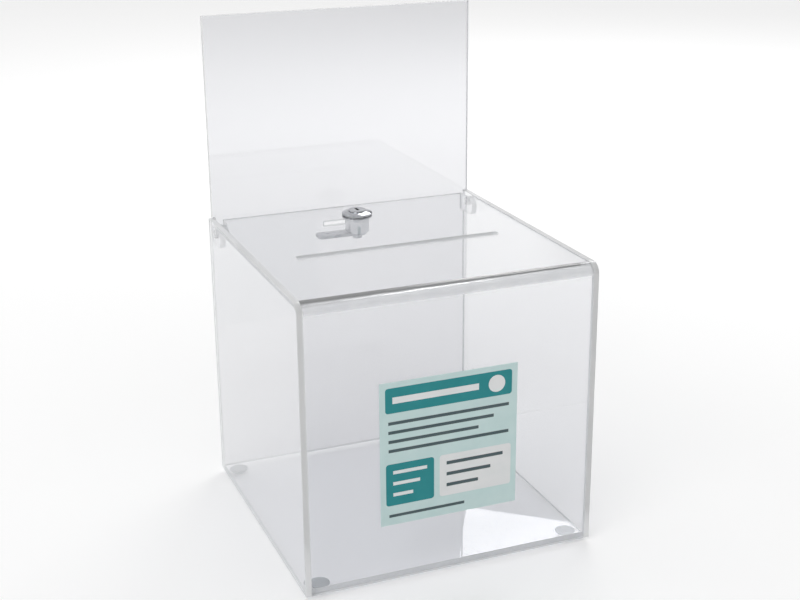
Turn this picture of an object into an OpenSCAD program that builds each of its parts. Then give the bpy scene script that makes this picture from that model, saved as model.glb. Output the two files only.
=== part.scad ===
// Clear acrylic ballot box with a hinged back panel that rises above the top as a header, and a cam lock.
// Millimetres, +Z up, front face towards -Y, origin on the floor under the middle of the box.

/* [Body] */
// Outer width over both side panels
body_w = 210; // [180:1:260]
// Outer depth from the front face to the back of the rear panel
body_d = 210; // [180:1:260]
// Height of the panels without the feet
body_h = 203; // [170:1:260]
// Thickness of every acrylic sheet
sheet_t = 4; // [3:0.5:5]
// Outer radius of the heat bend between the front and the top
bend_r = 8; // [6:0.5:12]

/* [Ballot slot] */
// Length of the ballot slot with its round ends
slot_l = 150; // [100:1:160]
// Width of the ballot slot
slot_w = 5; // [4.5:0.5:8]
// Distance from the front face to the middle of the slot
slot_from_front = 92.5; // [60:0.5:110]

/* [Rear door] */
// Width of the header above the box
header_w = 206; // [160:1:208]
// Height of the header above the box
header_h = 148; // [100:1:220]
// Gap under the header's shoulders, above the side panels
header_lift = 0.5; // [0.3:0.1:1]
// Gap between the door and each side panel
door_side_gap = 0.5; // [0.3:0.1:1]
// Gap between the closed door and the panels in front of it
door_gap = 0.3; // [0.2:0.1:0.6]

/* [Hinge] */
// Distance of the hinge pins in front of the door
hinge_in = 12; // [11:0.5:15]
// Depth of the hinge pins below the top of the box
hinge_down = 8; // [7.5:0.5:8.5]
// Diameter of the hinge pins
pin_d = 6; // [4:0.5:6]
// Running clearance between a pin and its ear, on the radius
pin_fit = 0.08; // [0.05:0.01:0.1]
// Glue gap round the pins in the side panels, on the radius
glue_gap = 0.05; // [0.02:0.01:0.1]
// Thickness of a hinge ear
ear_t = 4; // [3:0.5:6]
// Length of a hinge ear from the door to its round front end
ear_l = 23; // [21:1:30]
// Depth of a hinge ear below the pins
ear_below = 9; // [7:0.5:12]
// Radius of the front corners of an ear
ear_round = 6; // [2:0.5:6]
// Clearance beside and above an ear
ear_gap = 0.4; // [0.3:0.1:0.8]

/* [Lock] */
// Distance from the door to the axis of the lock
lock_from_door = 28; // [26:0.5:40]
// Diameter of the lock's flange
flange_d = 22.5; // [21:0.5:28]
// Height of the lock's domed flange
flange_h = 3.2; // [2.5:0.1:3.4]
// Height of the flange at its rim
flange_rim = 1.2; // [0.8:0.1:2]
// Diameter of the lock's barrel
barrel_d = 18; // [16:0.5:19]
// Width of the barrel across its two flats
barrel_flats = 16; // [14:0.5:16]
// Length of the barrel below the top of the box
barrel_l = 16; // [14:0.5:22]
// Diameter of the turning plug
plug_d = 11; // [10:0.5:12]
// Running clearance of the plug in the barrel, on the radius
plug_fit = 0.05; // [0.03:0.01:0.1]
// Diameter of the plug's head
plug_head_d = 13; // [12.5:0.5:14]
// Height of the plug's head
plug_head_h = 1.2; // [0.8:0.1:1.5]
// Width of the horseshoe clip that holds the lock under the top
clip_w = 22; // [20:1:30]
// Thickness of the clip
clip_t = 1.2; // [0.8:0.1:2]
// Depth of the groove in each flat that the clip slides into
groove_depth = 0.8; // [0.5:0.1:1]

/* [Cam] */
// Length of the cam from the lock's axis to its tip
cam_l = 31.5; // [29:0.5:31.5]
// Width of the cam
cam_w = 12; // [10:0.5:14]
// Thickness of the cam
cam_t = 2; // [1.5:0.5:3]
// Side of the square tail that turns the cam
tail_w = 6; // [5:0.5:7]
// Clearance of the locked cam in the door's slot, above and below
cam_slot_gap = 0.7; // [0.4:0.1:1.2]
// Outer diameter of the washer under the cam screw
washer_d = 9; // [8:0.5:11]
// Thickness of the washer
washer_h = 0.8; // [0.5:0.1:1.5]
// Diameter of the cam screw's thread
screw_d = 3.5; // [3:0.5:4]
// Diameter of the cam screw's head
screw_head_d = 7; // [6:0.5:8]
// Height of the cam screw's head
screw_head_h = 2.4; // [1.5:0.1:3]

/* [Lock wafers] */
// Thickness of a wafer
wafer_t = 1; // [0.6:0.1:1.2]
// Width of a wafer
wafer_w = 5; // [4:0.5:5.5]
// Length of a wafer across the plug
wafer_l = 8.4; // [7:0.1:8.8]
// Spacing of the wafers along the plug
wafer_pitch = 2.4; // [2:0.1:2.6]
// Width of the keyway
keyway_w = 1.8; // [1.4:0.1:2.2]
// Height of the keyway across the plug's face
keyway_l = 6.4; // [5:0.1:7]

/* [Feet] */
// Diameter of a foot where it is stuck on
foot_d = 14; // [10:0.5:18]
// Diameter of the flat that a foot stands on
foot_flat_d = 8; // [4:0.5:9]
// Height of a foot
foot_h = 3; // [2:0.1:5]
// Distance of each foot's middle from the two outer faces beside it
foot_in = 13; // [10:0.5:30]

/* [Front label] */
// Width of the label
label_w = 98; // [60:1:140]
// Height of the label
label_h = 101.5; // [60:0.5:140]
// Thickness of the label
label_t = 0.15; // [0.1:0.05:0.3]
// Distance of the label's middle to the left of the middle of the front
label_left = 3; // [-20:0.5:20]
// Height of the label's lower edge above the underside of the panels
label_up = 41; // [10:1:60]

/* [Hidden] */
$fn = 64;

// Overshoot of a cut past the face that it opens
cut = 1;

// Colours
acrylic = [0.86, 0.89, 0.92, 0.45];
chrome = [0.78, 0.79, 0.81];
steel = [0.62, 0.63, 0.65];
brass = [0.8, 0.66, 0.36];
silicone = [0.9, 0.92, 0.93, 0.6];
mint = [0.82, 0.91, 0.9];

// Planes of the body
inner_w = body_w - 2 * sheet_t;
base_z = foot_h;
top_z = base_z + body_h;
under_top_z = top_z - sheet_t;
front_y = -body_d / 2;
inner_front_y = front_y + sheet_t;
door_y = body_d / 2 - sheet_t;

// Hinge axis, and the back edge of the top, which the door's face just clears as it turns
pivot_y = door_y - hinge_in;
pivot_z = top_z - hinge_down;
top_back_y = pivot_y + sqrt(pow(hinge_in, 2) - pow(hinge_down, 2)) - door_gap;
ear_top_z = under_top_z - ear_gap;
ear_x = inner_w / 2 - ear_gap - ear_t;
notch_w = ear_t + 2 * ear_gap;
notch_front_y = pivot_y - (ear_top_z - pivot_z) - ear_gap;

// Lock axis and the stack of pieces below its barrel
lock_y = door_y - lock_from_door;
barrel_end_z = top_z - barrel_l;
cam_z = barrel_end_z - cam_t;
washer_z = cam_z - washer_h;
barrel_fit = 0.2;
clip_fit = 0.1;
head_rise = 0.2;
plug_top_z = top_z + flange_h + head_rise;
tail_fit = 0.05;
screw_fit = 0.05;
screw_l = 5;

// The cam's corners sweep this far from the lock's axis, which sets the length of the door's slot
cam_sweep_r = sqrt(pow(cam_l, 2) + pow(cam_w / 2, 2));
cam_slot_half = sqrt(pow(cam_sweep_r, 2) - pow(lock_from_door, 2)) + cam_slot_gap;

// Wafers in the plug
wafer_count = 4;
first_wafer_z = barrel_end_z + 3;
wafer_fit = 0.1;
keyway_end_z = first_wafer_z - 1;

// Extrudes an outline drawn in Y and Z along X, starting at x
module along_x(x, length) {
    translate([x, 0, 0])
        rotate([90, 0, 90])
            linear_extrude(length)
                children();
}

// The sliver outside a quarter circle of radius r, for rounding a corner that points to +,+
module corner_sliver(r) {
    difference() {
        square(r + cut);
        circle(r);
    }
}

// Removes the front top corner of an outline in Y and Z, down to a radius round the bend's centre
module front_bend_sliver(r) {
    translate([front_y + bend_r, top_z - bend_r])
        mirror([1, 0])
            corner_sliver(r);
}

module side_outline() {
    difference() {
        translate([front_y, base_z])
            square([body_d, body_h]);
        front_bend_sliver(bend_r);
        translate([pivot_y, pivot_z])
            circle(pin_d / 2 + glue_gap);
    }
}

module left_side_panel() {
    color(acrylic)
        along_x(-body_w / 2, sheet_t)
            side_outline();
}

module right_side_panel() {
    color(acrylic)
        along_x(inner_w / 2, sheet_t)
            side_outline();
}

// The bent sheet in profile: a front wall and a top, joined by a heat bend
module bent_outline() {
    difference() {
        translate([front_y, base_z])
            square([top_back_y - front_y, body_h]);
        front_bend_sliver(bend_r);
        difference() {
            translate([inner_front_y, base_z - cut])
                square([top_back_y - inner_front_y + cut, body_h - sheet_t + cut]);
            front_bend_sliver(bend_r - sheet_t);
        }
    }
}

module slot_outline() {
    straight = slot_l - slot_w;
    square([straight, slot_w], center = true);
    for (end = [-1, 1])
        translate([end * straight / 2, 0])
            circle(slot_w / 2);
}

// The barrel's round outline with two flats, grown by a clearance
module barrel_outline(gap) {
    intersection() {
        circle(barrel_d / 2 + gap);
        square([barrel_flats + 2 * gap, barrel_d + 2 * gap + cut], center = true);
    }
}

// The cut-out at the right back corner of the top, through which the ear swings up
module ear_notch() {
    translate([inner_w / 2 - notch_w, notch_front_y, under_top_z - cut])
        cube([notch_w + cut, top_back_y - notch_front_y + cut, sheet_t + 2 * cut]);
}

module front_top_panel() {
    color(acrylic)
        difference() {
            along_x(-inner_w / 2, inner_w)
                bent_outline();
            translate([0, front_y + slot_from_front, under_top_z - cut])
                linear_extrude(sheet_t + 2 * cut)
                    slot_outline();
            translate([0, lock_y, under_top_z - cut])
                linear_extrude(sheet_t + 2 * cut)
                    barrel_outline(barrel_fit);
            ear_notch();
            mirror([1, 0, 0])
                ear_notch();
        }
}

module bottom_panel() {
    color(acrylic)
        translate([-inner_w / 2, inner_front_y, base_z])
            cube([inner_w, door_y - door_gap - inner_front_y, sheet_t]);
}

// One sheet that closes the back between the side panels and rises above the top as a header
module back_header_panel() {
    door_w = inner_w - 2 * door_side_gap;
    shoulder_z = top_z + header_lift;
    color(acrylic)
        translate([0, door_y, 0])
            difference() {
                union() {
                    translate([-door_w / 2, 0, base_z])
                        cube([door_w, sheet_t, shoulder_z - base_z]);
                    translate([-header_w / 2, 0, shoulder_z])
                        cube([header_w, sheet_t, header_h - header_lift]);
                }
                translate([-cam_slot_half, -cut, cam_z - cam_slot_gap])
                    cube([2 * cam_slot_half, sheet_t + 2 * cut, cam_t + 2 * cam_slot_gap]);
            }
}

// A hinge ear in profile, with round front corners and the hole that turns on the pin
module ear_outline() {
    ear_front_y = door_y - ear_l;
    ear_bottom_z = pivot_z - ear_below;
    difference() {
        translate([ear_front_y, ear_bottom_z])
            square([ear_l, ear_top_z - ear_bottom_z]);
        translate([ear_front_y + ear_round, ear_top_z - ear_round])
            mirror([1, 0])
                corner_sliver(ear_round);
        translate([ear_front_y + ear_round, ear_bottom_z + ear_round])
            rotate(180)
                corner_sliver(ear_round);
        translate([pivot_y, pivot_z])
            circle(pin_d / 2 + pin_fit);
    }
}

module right_hinge_ear() {
    color(acrylic)
        along_x(ear_x, ear_t)
            ear_outline();
}

module left_hinge_ear() {
    mirror([1, 0, 0])
        right_hinge_ear();
}

// A pin from the outer face of the side panel to just past the inner face of the ear
module right_hinge_pin() {
    pin_l = sheet_t + ear_gap + ear_t + ear_gap;
    color(acrylic)
        translate([body_w / 2 - pin_l, pivot_y, pivot_z])
            rotate([0, 90, 0])
                cylinder(h = pin_l, d = pin_d);
}

module left_hinge_pin() {
    mirror([1, 0, 0])
        right_hinge_pin();
}

// Half of the flange's section: a dome that drops to the rim's height at its outer edge
module flange_section() {
    drop = flange_h - flange_rim;
    dome_r = (pow(flange_d / 2, 2) + pow(drop, 2)) / (2 * drop);
    intersection() {
        square([flange_d / 2, flange_h]);
        translate([0, flange_h - dome_r])
            circle(dome_r, $fn = 128);
    }
}

module lock_body() {
    color(chrome)
        translate([0, lock_y, 0])
            difference() {
                union() {
                    translate([0, 0, top_z])
                        rotate_extrude()
                            flange_section();
                    translate([0, 0, barrel_end_z])
                        linear_extrude(barrel_l)
                            barrel_outline(0);
                }
                translate([0, 0, barrel_end_z - cut])
                    cylinder(h = barrel_l + flange_h + 2 * cut, r = plug_d / 2 + plug_fit);
                translate([0, 0, plug_top_z - plug_head_h])
                    cylinder(h = plug_head_h + cut, r = plug_head_d / 2 + plug_fit);
                for (side = [0, 1])
                    mirror([side, 0, 0])
                        translate([barrel_flats / 2 - groove_depth, -barrel_d / 2, under_top_z - clip_t])
                            cube([groove_depth + cut, barrel_d, clip_t]);
            }
}

// A flat horseshoe whose legs lie in the barrel's grooves, against the underside of the top
module lock_clip() {
    gap_w = barrel_flats - 2 * groove_depth + 2 * clip_fit;
    color(steel)
        translate([0, lock_y, under_top_z - clip_t + clip_fit])
            linear_extrude(clip_t - clip_fit)
                difference() {
                    intersection() {
                        circle(clip_w / 2);
                        translate([-clip_w / 2, -clip_w / 2])
                            square([clip_w, clip_w / 2 + barrel_d / 2]);
                    }
                    translate([-gap_w / 2, -barrel_d / 2 - clip_fit])
                        square([gap_w, barrel_d + clip_w]);
                }
}

function wafer_z(i) = first_wafer_z + i * wafer_pitch;

module lock_plug() {
    color(chrome)
        translate([0, lock_y, 0])
            difference() {
                union() {
                    translate([0, 0, barrel_end_z])
                        cylinder(h = plug_top_z - barrel_end_z, d = plug_d);
                    translate([0, 0, plug_top_z - plug_head_h])
                        cylinder(h = plug_head_h, d = plug_head_d);
                    translate([-tail_w / 2, -tail_w / 2, cam_z])
                        cube([tail_w, tail_w, cam_t + cut]);
                }
                translate([-keyway_w / 2, -keyway_l / 2, keyway_end_z])
                    cube([keyway_w, keyway_l, plug_top_z - keyway_end_z + cut]);
                for (i = [0:wafer_count - 1])
                    translate([-wafer_w / 2 - wafer_fit, -wafer_l / 2 - wafer_fit, wafer_z(i) - wafer_fit])
                        cube([wafer_w + 2 * wafer_fit, wafer_l + 2 * wafer_fit, wafer_t + 2 * wafer_fit]);
                translate([0, 0, cam_z - cut])
                    cylinder(h = screw_l - washer_h + 2 * cut, r = screw_d / 2 + screw_fit);
            }
}

// A flat wafer with the window that the key passes through
module wafer(i) {
    color(brass)
        translate([0, lock_y, wafer_z(i)])
            difference() {
                translate([-wafer_w / 2, -wafer_l / 2, 0])
                    cube([wafer_w, wafer_l, wafer_t]);
                translate([-keyway_w / 2 - wafer_fit, -keyway_l / 2, -cut])
                    cube([keyway_w + 2 * wafer_fit, keyway_l, wafer_t + 2 * cut]);
            }
}

// Seen from above, the cam points to the left at rest, unlocked, and into the door when it is locked
module lock_cam() {
    tip_round = cam_w / 4;
    hub_r = cam_w / 2 + 1;
    color(steel)
        translate([0, lock_y, cam_z])
            rotate(180)
                difference() {
                    linear_extrude(cam_t)
                        union() {
                            circle(hub_r);
                            difference() {
                                translate([0, -cam_w / 2])
                                    square([cam_l, cam_w]);
                                for (side = [0, 1])
                                    mirror([0, side])
                                        translate([cam_l - tip_round, cam_w / 2 - tip_round])
                                            corner_sliver(tip_round);
                            }
                        }
                    translate([-tail_w / 2 - tail_fit, -tail_w / 2 - tail_fit, -cut])
                        cube([tail_w + 2 * tail_fit, tail_w + 2 * tail_fit, cam_t + 2 * cut]);
                }
}

module cam_washer() {
    color(steel)
        translate([0, lock_y, washer_z])
            difference() {
                cylinder(h = washer_h, d = washer_d);
                translate([0, 0, -cut])
                    cylinder(h = washer_h + 2 * cut, r = screw_d / 2 + 2 * screw_fit);
            }
}

// A pan head screw with a cross recess, up through the washer into the plug's tail
module cam_screw() {
    recess_w = 1;
    recess_l = 4;
    recess_h = 1.2;
    head_z = washer_z - screw_head_h;
    color(steel)
        translate([0, lock_y, 0])
            difference() {
                union() {
                    translate([0, 0, head_z])
                        cylinder(h = screw_head_h, d = screw_head_d);
                    translate([0, 0, washer_z - cut])
                        cylinder(h = screw_l + cut, d = screw_d);
                }
                for (turn = [0, 90])
                    rotate(turn)
                        translate([-recess_l / 2, -recess_w / 2, head_z - cut])
                            cube([recess_l, recess_w, recess_h + cut]);
            }
}

// A round bumper: a slice of a ball between the floor and the underside of the box
module foot(x_side, y_side) {
    rise = (pow(foot_d / 2, 2) - pow(foot_flat_d / 2, 2) - pow(foot_h, 2)) / (2 * foot_h);
    ball_r = sqrt(pow(foot_d / 2, 2) + pow(rise, 2));
    color(silicone)
        translate([x_side * (body_w / 2 - foot_in), y_side * (body_d / 2 - foot_in), 0])
            rotate_extrude()
                intersection() {
                    square([foot_d / 2, foot_h]);
                    translate([0, foot_h + rise])
                        circle(ball_r, $fn = 96);
                }
}

module front_label() {
    color(mint)
        translate([-label_left - label_w / 2, front_y - label_t, base_z + label_up])
            cube([label_w, label_t, label_h]);
}

left_side_panel();
right_side_panel();
front_top_panel();
bottom_panel();
left_hinge_pin();
right_hinge_pin();
back_header_panel();
left_hinge_ear();
right_hinge_ear();
lock_body();
lock_clip();
lock_plug();
lock_cam();
cam_washer();
cam_screw();
wafer(0);  // wafer_1
wafer(1);  // wafer_2
wafer(2);  // wafer_3
wafer(3);  // wafer_4
foot(-1, -1);  // foot_front_left
foot(1, -1);  // foot_front_right
foot(-1, 1);  // foot_rear_left
foot(1, 1);  // foot_rear_right
front_label();
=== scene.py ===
import math

import bmesh
import bpy
from mathutils import Matrix, Vector


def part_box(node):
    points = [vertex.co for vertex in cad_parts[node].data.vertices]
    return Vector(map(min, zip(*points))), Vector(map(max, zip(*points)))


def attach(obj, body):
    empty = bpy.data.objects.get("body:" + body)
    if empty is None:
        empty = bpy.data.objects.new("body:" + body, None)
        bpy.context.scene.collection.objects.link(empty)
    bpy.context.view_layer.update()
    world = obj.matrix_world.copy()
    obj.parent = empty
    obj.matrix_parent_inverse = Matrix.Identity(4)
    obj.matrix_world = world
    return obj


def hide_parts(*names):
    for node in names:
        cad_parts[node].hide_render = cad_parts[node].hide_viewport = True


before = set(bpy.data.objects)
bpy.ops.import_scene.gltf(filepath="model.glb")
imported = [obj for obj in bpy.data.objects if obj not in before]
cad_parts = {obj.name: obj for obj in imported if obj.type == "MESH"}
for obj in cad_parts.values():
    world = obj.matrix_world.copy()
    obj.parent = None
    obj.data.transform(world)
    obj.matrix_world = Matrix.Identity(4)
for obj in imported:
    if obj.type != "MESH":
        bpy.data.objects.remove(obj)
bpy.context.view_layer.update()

MM = 0.001

# Camera, fitted to the edges of the box in the photograph: metres, degrees and pixels
CAMERA_PLACE = (-0.3403, -0.8655, 0.4871)
CAMERA_TILT = 70.69
CAMERA_ROLL = -0.51
CAMERA_HEADING = -21.74
CAMERA_CLIP = 10 * MM
FOCAL_PIXELS = 1389.0
IMAGE_WIDTH = 800
SENSOR_WIDTH = 36.0

# How acrylic bends light, and the grain in the finishes, with noise scales per metre
ACRYLIC_IOR = 1.49
CLEAR_GLOSS_SCALE = 14.0
PALE_PLASTIC_SCALE = 60.0
PALE_PLASTIC_GLOSS = (0.08, 0.2)
INK_COLOUR_SCALE = 90.0
INK_GLOSS_SCALE = 300.0
INK_TOOTH_SCALE = 500.0
INK_TOOTH_DEPTH = 0.1 * MM
INK_TOOTH_STRENGTH = 0.05
INK_GLOSS_SPREAD = 0.04
COLOUR_STOPS = (0.35, 0.65)


# Helpers for meshes and material nodes

def add_object(mesh, name):
    """Turns a finished bmesh into an object of the scene."""
    data = bpy.data.meshes.new(name)
    mesh.to_mesh(data)
    mesh.free()
    made = bpy.data.objects.new(name, data)
    bpy.context.scene.collection.objects.link(made)
    return made


def new_material(name):
    material = bpy.data.materials.new(name)
    material.use_nodes = True
    shader = material.node_tree.nodes["Principled BSDF"]
    return material, material.node_tree, shader


def combine(tree, operation, first, second):
    """The result of a Math node on two outputs."""
    node = tree.nodes.new("ShaderNodeMath")
    node.operation = operation
    tree.links.new(first, node.inputs[0])
    tree.links.new(second, node.inputs[1])
    return node.outputs["Value"]


def spread(tree, value, start, end, low, high):
    """Takes a value's range from start to end over to the range from low to high."""
    node = tree.nodes.new("ShaderNodeMapRange")
    node.inputs["From Min"].default_value = start
    node.inputs["From Max"].default_value = end
    node.inputs["To Min"].default_value = low
    node.inputs["To Max"].default_value = high
    tree.links.new(value, node.inputs["Value"])
    return node.outputs["Result"]


def object_noise(tree, scale, detail=2.0):
    place = tree.nodes.new("ShaderNodeTexCoord")
    noise = tree.nodes.new("ShaderNodeTexNoise")
    noise.inputs["Scale"].default_value = scale
    noise.inputs["Detail"].default_value = detail
    tree.links.new(place.outputs["Object"], noise.inputs["Vector"])
    return noise.outputs["Fac"]


def vary_roughness(tree, shader, noise, low, high):
    tree.links.new(spread(tree, noise, 0.0, 1.0, low, high), shader.inputs["Roughness"])


def vary_colour(tree, shader, noise, first, second):
    """Drifts from the first colour to the second over the middle of the noise's range."""
    ramp = tree.nodes.new("ShaderNodeValToRGB")
    for stop, place, colour in zip(ramp.color_ramp.elements, COLOUR_STOPS, (first, second)):
        stop.position = place
        stop.color = (*colour, 1.0)
    tree.links.new(noise, ramp.inputs["Fac"])
    tree.links.new(ramp.outputs["Color"], shader.inputs["Base Color"])


def add_bump(tree, shader, noise, strength, distance):
    bump = tree.nodes.new("ShaderNodeBump")
    bump.inputs["Strength"].default_value = strength
    bump.inputs["Distance"].default_value = distance
    tree.links.new(noise, bump.inputs["Height"])
    tree.links.new(bump.outputs["Normal"], shader.inputs["Normal"])


# Finishes

def clear_plastic(name, tint, low, high):
    """Clear plastic that bends what is seen through it and lets lamps light what is behind it."""
    material, tree, shader = new_material(name)
    shader.inputs["Base Color"].default_value = (*tint, 1.0)
    shader.inputs["Transmission Weight"].default_value = 1.0
    shader.inputs["IOR"].default_value = ACRYLIC_IOR
    vary_roughness(tree, shader, object_noise(tree, CLEAR_GLOSS_SCALE), low, high)
    path = tree.nodes.new("ShaderNodeLightPath")
    light_rays = combine(tree, "MAXIMUM", path.outputs["Is Shadow Ray"], path.outputs["Is Diffuse Ray"])
    passing = tree.nodes.new("ShaderNodeBsdfTransparent")
    passing.inputs["Color"].default_value = (*tint, 1.0)
    mix = tree.nodes.new("ShaderNodeMixShader")
    tree.links.new(light_rays, mix.inputs["Fac"])
    tree.links.new(shader.outputs["BSDF"], mix.inputs[1])
    tree.links.new(passing.outputs["BSDF"], mix.inputs[2])
    tree.links.new(mix.outputs["Shader"], tree.nodes["Material Output"].inputs["Surface"])
    return material


def part_clear_plastic(name, first, second, clearness):
    """Plastic with a pale colour, which can be seen through only in part. On the acrylic's cut edges and
    bend the pale colour is painted brightness for the light the sheet catches there; on the feet it is
    the gel's own colour.
    """
    material, tree, shader = new_material(name)
    shader.inputs["Transmission Weight"].default_value = clearness
    shader.inputs["IOR"].default_value = ACRYLIC_IOR
    noise = object_noise(tree, PALE_PLASTIC_SCALE)
    vary_colour(tree, shader, noise, first, second)
    vary_roughness(tree, shader, noise, *PALE_PLASTIC_GLOSS)
    return material


def metal(name, first, second, low, high, scale):
    material, tree, shader = new_material(name)
    shader.inputs["Metallic"].default_value = 1.0
    noise = object_noise(tree, scale)
    vary_colour(tree, shader, noise, first, second)
    vary_roughness(tree, shader, noise, low, high)
    return material


def print_ink(name, first, second, roughness):
    """A printed film: faintly mottled, with a fine tooth."""
    material, tree, shader = new_material(name)
    vary_colour(tree, shader, object_noise(tree, INK_COLOUR_SCALE, detail=4.0), first, second)
    vary_roughness(tree, shader, object_noise(tree, INK_GLOSS_SCALE),
                   roughness - INK_GLOSS_SPREAD, roughness + INK_GLOSS_SPREAD)
    add_bump(tree, shader, object_noise(tree, INK_TOOTH_SCALE), INK_TOOTH_STRENGTH, INK_TOOTH_DEPTH)
    return material


acrylic = clear_plastic("clear acrylic", tint=(0.925, 0.928, 0.938), low=0.0, high=0.012)
# The header is the same clear acrylic with a darker tint: painted shade for the greyness the header shows
painted_shade_header_acrylic = clear_plastic("clear header acrylic, painted shade", tint=(0.79, 0.793, 0.812), low=0.0, high=0.012)
# Cut edges: pale and mostly opaque, a painted brightness standing in for the light the clear sheet's
# polished edges catch and carry
painted_bright_acrylic_edge = part_clear_plastic("acrylic edge, painted bright", clearness=0.25,
                              first=(0.94, 0.95, 0.955), second=(0.98, 0.985, 0.99))
# The bend: paler and partly opaque, a painted highlight for the light the curved acrylic catches
painted_highlight_bend_acrylic = part_clear_plastic("bent acrylic, painted highlight", clearness=0.7,
                              first=(0.88, 0.89, 0.905), second=(0.93, 0.94, 0.95))
bumper_gel = part_clear_plastic("clear bumper gel", clearness=0.6,
                            first=(0.8, 0.83, 0.84), second=(0.86, 0.88, 0.89))
chrome = metal("polished chrome", low=0.04, high=0.1, scale=160.0,
               first=(0.5, 0.51, 0.53), second=(0.58, 0.59, 0.61))
plated_steel = metal("plated steel", low=0.22, high=0.36, scale=220.0,
                     first=(0.36, 0.37, 0.4), second=(0.45, 0.46, 0.49))
wafer_brass = metal("wafer brass", low=0.25, high=0.35, scale=200.0,
                    first=(0.68, 0.5, 0.2), second=(0.76, 0.58, 0.26))
label_mint = print_ink("mint label film", (0.62, 0.8, 0.79), (0.66, 0.83, 0.82), roughness=0.42)
label_teal = print_ink("teal ink", (0.0, 0.25, 0.27), (0.004, 0.27, 0.29), roughness=0.4)
label_white = print_ink("white ink", (0.86, 0.88, 0.88), (0.9, 0.91, 0.91), roughness=0.42)
label_slate = print_ink("slate ink", (0.05, 0.09, 0.1), (0.07, 0.11, 0.12), roughness=0.4)


# The pins, the lock, the feet and the label keep their CAD shapes and get their finishes

NODE_FINISH = {
    "left_hinge_pin": acrylic, "right_hinge_pin": acrylic,
    "lock_body": chrome, "lock_plug": chrome,
    "lock_clip": plated_steel, "lock_cam": plated_steel,
    "cam_washer": plated_steel, "cam_screw": plated_steel,
    "wafer_1": wafer_brass, "wafer_2": wafer_brass, "wafer_3": wafer_brass, "wafer_4": wafer_brass,
    "foot_front_left": bumper_gel, "foot_front_right": bumper_gel,
    "foot_rear_left": bumper_gel, "foot_rear_right": bumper_gel,
    "front_label": label_mint,
}

for node_name, given_material in NODE_FINISH.items():
    node_object = bpy.data.objects[node_name]
    node_object.data.materials.clear()
    node_object.data.materials.append(given_material)


# The acrylic sheets get eased corners. Their cut edges and the bend get pale, partly clear materials:
# painted brightness and a painted highlight, standing in for the light the clear acrylic catches there

EASE = 0.3 * MM
EASE_STEPS = 2
SHARP_TURN = math.radians(30)
SAME_PLACE = 0.001 * MM
SAME_PLANE = math.radians(0.5)

# How far a face's normal points along an axis: all the way, mostly, or enough to count
FLAT = 0.9999
FACING = 0.9
TURNED = 0.1

# Material numbers of a sheet
WIDE_FACE = 0
CUT_EDGE = 1
BEND = 2

# The bend's reach from the front, in sheet thicknesses, and what keeps a face off the sheet's surfaces
BEND_REACH = 3
OFF_SURFACE = 0.01 * MM


def sheet_piece(node, body, name, wide_face_material, is_open_face):
    """A copy of a CAD sheet with eased corners. is_open_face says which faces aren't cut edges."""
    mesh = bmesh.new()
    mesh.from_mesh(bpy.data.objects[node].data)
    bmesh.ops.remove_doubles(mesh, verts=mesh.verts, dist=SAME_PLACE)
    bmesh.ops.dissolve_limit(mesh, angle_limit=SAME_PLANE, verts=mesh.verts, edges=mesh.edges)
    for face in mesh.faces:
        face.smooth = max(abs(part) for part in face.normal) < FLAT
        if not is_open_face(face):
            face.material_index = CUT_EDGE
        elif face.smooth:
            face.material_index = BEND
        else:
            face.material_index = WIDE_FACE
    sharp = [edge for edge in mesh.edges
             if len(edge.link_faces) == 2 and edge.calc_face_angle(0.0) > SHARP_TURN]
    bmesh.ops.bevel(mesh, geom=sharp, offset=EASE, segments=EASE_STEPS, profile=0.5,
                    affect="EDGES", material=CUT_EDGE, clamp_overlap=True)
    piece = add_object(mesh, name)
    # The second and third materials carry painted brightness on the cut edges and a painted highlight on
    # the bend
    for given_material in (wide_face_material, painted_bright_acrylic_edge, painted_highlight_bend_acrylic):
        piece.data.materials.append(given_material)
    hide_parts(node)
    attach(piece, body)


def faces_along(axis):
    def is_open_face(face):
        return abs(face.normal[axis]) > FACING
    return is_open_face


def bent_sheet_face(face):
    """The wide faces of the bent sheet: not its outer edges, nor the walls of its cut-outs."""
    low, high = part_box("front_top_panel")
    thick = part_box("bottom_panel")[1].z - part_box("bottom_panel")[0].z
    middle = face.calc_center_median()
    side_edge = abs(face.normal.x) > TURNED
    lower_edge = face.normal.z < -FACING and middle.z < low.z + thick
    within_top = high.z - thick + OFF_SURFACE < middle.z < high.z - OFF_SURFACE
    top_edge = within_top and middle.y > low.y + BEND_REACH * thick
    return not (side_edge or lower_edge or top_edge)


sheet_piece("left_side_panel", "box", "left_side_sheet", acrylic, faces_along(0))
sheet_piece("right_side_panel", "box", "right_side_sheet", acrylic, faces_along(0))
sheet_piece("bottom_panel", "box", "bottom_sheet", acrylic, faces_along(2))
sheet_piece("front_top_panel", "box", "front_top_sheet", acrylic, bent_sheet_face)
# The header sheet gets the darker tint, a painted shade
sheet_piece("back_header_panel", "door", "back_header_sheet", painted_shade_header_acrylic, faces_along(1))
sheet_piece("left_hinge_ear", "door", "left_ear_plate", acrylic, faces_along(0))
sheet_piece("right_hinge_ear", "door", "right_ear_plate", acrylic, faces_along(0))


# Prints on the front label, in millimetres from its lower left corner

BLOCK_CORNER = 2.0
BADGE_CORNER = 5.9
CORNER_STEPS = 8
FIRST_LAYER = 0.06 * MM
SECOND_LAYER = 0.1 * MM


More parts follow.
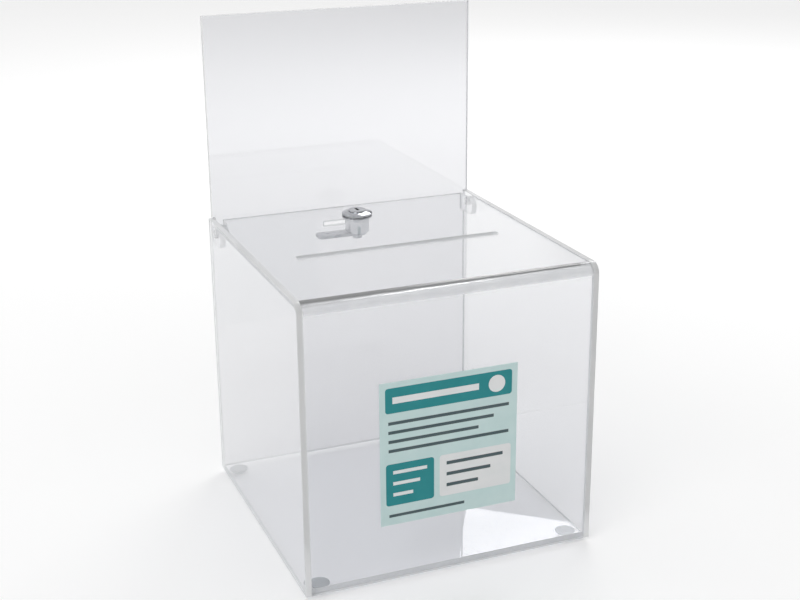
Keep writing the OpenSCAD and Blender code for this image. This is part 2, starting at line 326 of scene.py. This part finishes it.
def printed_plate(name, ink, lift, left, right, low, high, corner=0.0):
    """A thin plate of ink on the front of the label. lift is how far it stands out, in metres."""
    low_corner, high_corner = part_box("front_label")
    width = (right - left) * MM
    height = (high - low) * MM
    centre = (low_corner[0] + (left + right) / 2 * MM,
              low_corner[1] - lift / 2,
              low_corner[2] + (low + high) / 2 * MM)
    mesh = bmesh.new()
    bmesh.ops.create_cube(mesh, size=1.0)
    bmesh.ops.scale(mesh, vec=(width, lift, height), verts=mesh.verts)
    if corner > 0:
        through = [edge for edge in mesh.edges
                   if abs(edge.verts[0].co.y - edge.verts[1].co.y) > lift / 2]
        bmesh.ops.bevel(mesh, geom=through, offset=corner * MM, segments=CORNER_STEPS, profile=0.5,
                        affect="EDGES", material=-1)
    bmesh.ops.translate(mesh, vec=centre, verts=mesh.verts)
    bmesh.ops.recalc_face_normals(mesh, faces=mesh.faces)
    piece = add_object(mesh, name)
    piece.data.materials.append(ink)
    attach(piece, "box")


printed_plate("label_banner", label_teal, FIRST_LAYER,
              left=4, right=94, low=80, high=97.5, corner=BLOCK_CORNER)
printed_plate("label_side_block", label_teal, FIRST_LAYER,
              left=4, right=38, low=14, high=44, corner=BLOCK_CORNER)
printed_plate("label_panel", label_white, FIRST_LAYER,
              left=42, right=94, low=14, high=44, corner=BLOCK_CORNER)
printed_plate("label_title_bar", label_white, SECOND_LAYER, left=9, right=70, low=86.5, high=91)
printed_plate("label_badge", label_white, SECOND_LAYER,
              left=77, right=89, low=82.8, high=94.8, corner=BADGE_CORNER)

LINE_TOP = 74
LINE_PITCH = 6.5
LINE_HEIGHT = 2.2
for row in range(4):
    line_top = LINE_TOP - row * LINE_PITCH
    printed_plate(f"label_line_{row + 1}", label_slate, FIRST_LAYER,
                  left=6, right=92 - 11 * (row % 3), low=line_top - LINE_HEIGHT, high=line_top)

BLOCK_LINE_TOP = 39
BLOCK_LINE_PITCH = 8
BLOCK_LINE_HEIGHT = 2.4
for row in range(3):
    line_top = BLOCK_LINE_TOP - row * BLOCK_LINE_PITCH
    line_low = line_top - BLOCK_LINE_HEIGHT
    printed_plate(f"label_block_line_{row + 1}", label_white, SECOND_LAYER,
                  left=9, right=33 - 5 * row, low=line_low, high=line_top)
    printed_plate(f"label_panel_line_{row + 1}", label_slate, SECOND_LAYER,
                  left=47, right=88 - 9 * row, low=line_low, high=line_top)
printed_plate("label_foot_line", label_slate, FIRST_LAYER, left=6, right=60, low=5.5, high=7.5)


# Floor: a pale ground that looks brighter further out, to those rays that show it

FLOOR_HALF_WIDTH = 6.0
FLOOR_SCALE = 3.0
FLOOR_ROUGHNESS = 0.9
FLOOR_TONES = ((0.93, 0.93, 0.93), (0.935, 0.935, 0.935))
NEAR_FLOOR = 0.3
FAR_FLOOR = 1.3
NEAR_FLOOR_LIFT = 0.16
FAR_FLOOR_LIFT = 0.32


def seen_rays(tree):
    """1 for rays that show a surface to the camera, directly or in metal or clear plastic, else 0."""
    path = tree.nodes.new("ShaderNodeLightPath")
    total = path.outputs["Is Camera Ray"]
    for kind in ("Is Glossy Ray", "Is Transmission Ray"):
        total = combine(tree, "MAXIMUM", total, path.outputs[kind])
    return total


def pale_floor():
    mesh = bmesh.new()
    bmesh.ops.create_grid(mesh, x_segments=1, y_segments=1, size=FLOOR_HALF_WIDTH)
    floor = add_object(mesh, "floor")
    material, tree, shader = new_material("pale floor")
    shader.inputs["Roughness"].default_value = FLOOR_ROUGHNESS
    shader.inputs["Specular IOR Level"].default_value = 0.0
    shader.inputs["Emission Color"].default_value = (1.0, 1.0, 1.0, 1.0)
    vary_colour(tree, shader, object_noise(tree, FLOOR_SCALE), *FLOOR_TONES)
    place = tree.nodes.new("ShaderNodeTexCoord")
    distance = tree.nodes.new("ShaderNodeVectorMath")
    distance.operation = "LENGTH"
    tree.links.new(place.outputs["Object"], distance.inputs[0])
    rise = spread(tree, distance.outputs["Value"], NEAR_FLOOR, FAR_FLOOR, NEAR_FLOOR_LIFT, FAR_FLOOR_LIFT)
    lift = combine(tree, "MULTIPLY", seen_rays(tree), rise)
    tree.links.new(lift, shader.inputs["Emission Strength"])
    floor.data.materials.append(material)


# World: white to the camera. It lights and reflects dimmer from the front, with a dark strip at each side

FADE_START = -0.6
FADE_END = 0.5
FRONT_LEVEL = 0.45
STRIP_LEVEL = 0.12

# Places across the world, from 0 at the left to 1 at the right, and their levels
LEVELS_ACROSS = (
    (0.1, 1.0), (0.15, STRIP_LEVEL), (0.23, STRIP_LEVEL), (0.28, 1.0),
    (0.72, 1.0), (0.77, STRIP_LEVEL), (0.85, STRIP_LEVEL), (0.9, 1.0),
)


def pale_world():
    world = bpy.data.worlds.new("studio")
    bpy.context.scene.world = world
    world.use_nodes = True
    tree = world.node_tree
    background = tree.nodes["Background"]
    background.inputs["Color"].default_value = (1.0, 1.0, 1.0, 1.0)
    place = tree.nodes.new("ShaderNodeTexCoord")
    split = tree.nodes.new("ShaderNodeSeparateXYZ")
    tree.links.new(place.outputs["Generated"], split.inputs["Vector"])
    fade = spread(tree, split.outputs["Y"], FADE_START, FADE_END, FRONT_LEVEL, 1.0)
    across = spread(tree, split.outputs["X"], -1.0, 1.0, 0.0, 1.0)
    strips = tree.nodes.new("ShaderNodeValToRGB")
    strips.color_ramp.elements[0].color = (1.0, 1.0, 1.0, 1.0)
    for place_across, level in LEVELS_ACROSS:
        stop = strips.color_ramp.elements.new(place_across)
        stop.color = (level, level, level, 1.0)
    tree.links.new(across, strips.inputs["Fac"])
    path = tree.nodes.new("ShaderNodeLightPath")
    choose = tree.nodes.new("ShaderNodeMix")
    choose.inputs["B"].default_value = 1.0
    tree.links.new(path.outputs["Is Camera Ray"], choose.inputs["Factor"])
    tree.links.new(combine(tree, "MULTIPLY", strips.outputs["Color"], fade), choose.inputs["A"])
    tree.links.new(choose.outputs["Result"], background.inputs["Strength"])


# Lamps: a soft one from the front left and a soft one from the back right

def soft_lamp(name, place, aim, size, power):
    light = bpy.data.lights.new(name, "AREA")
    light.shape = "SQUARE"
    light.size = size
    light.energy = power
    lamp = bpy.data.objects.new(name, light)
    lamp.location = place
    lamp.rotation_euler = (Vector(aim) - Vector(place)).to_track_quat("-Z", "Y").to_euler()
    bpy.context.scene.collection.objects.link(lamp)


pale_floor()
pale_world()
soft_lamp("key_lamp", place=(-1.2, -1.1, 1.6), aim=(0.0, 0.0, 0.15), size=1.2, power=14.0)
soft_lamp("rear_lamp", place=(1.1, 1.3, 1.5), aim=(0.0, 0.0, 0.2), size=1.0, power=10.0)


# Camera at the photograph's viewing angle

def add_camera():
    data = bpy.data.cameras.new("photo_camera")
    data.sensor_fit = "HORIZONTAL"
    data.sensor_width = SENSOR_WIDTH
    data.lens = FOCAL_PIXELS * SENSOR_WIDTH / IMAGE_WIDTH
    data.clip_start = CAMERA_CLIP
    camera = bpy.data.objects.new("photo_camera", data)
    turn = (Matrix.Rotation(math.radians(CAMERA_HEADING), 4, "Z")
            @ Matrix.Rotation(math.radians(CAMERA_TILT), 4, "X")
            @ Matrix.Rotation(math.radians(CAMERA_ROLL), 4, "Z"))
    camera.matrix_world = Matrix.Translation(CAMERA_PLACE) @ turn
    bpy.context.scene.collection.objects.link(camera)
    bpy.context.scene.camera = camera


add_camera()
bpy.context.scene.view_settings.view_transform = "Standard"
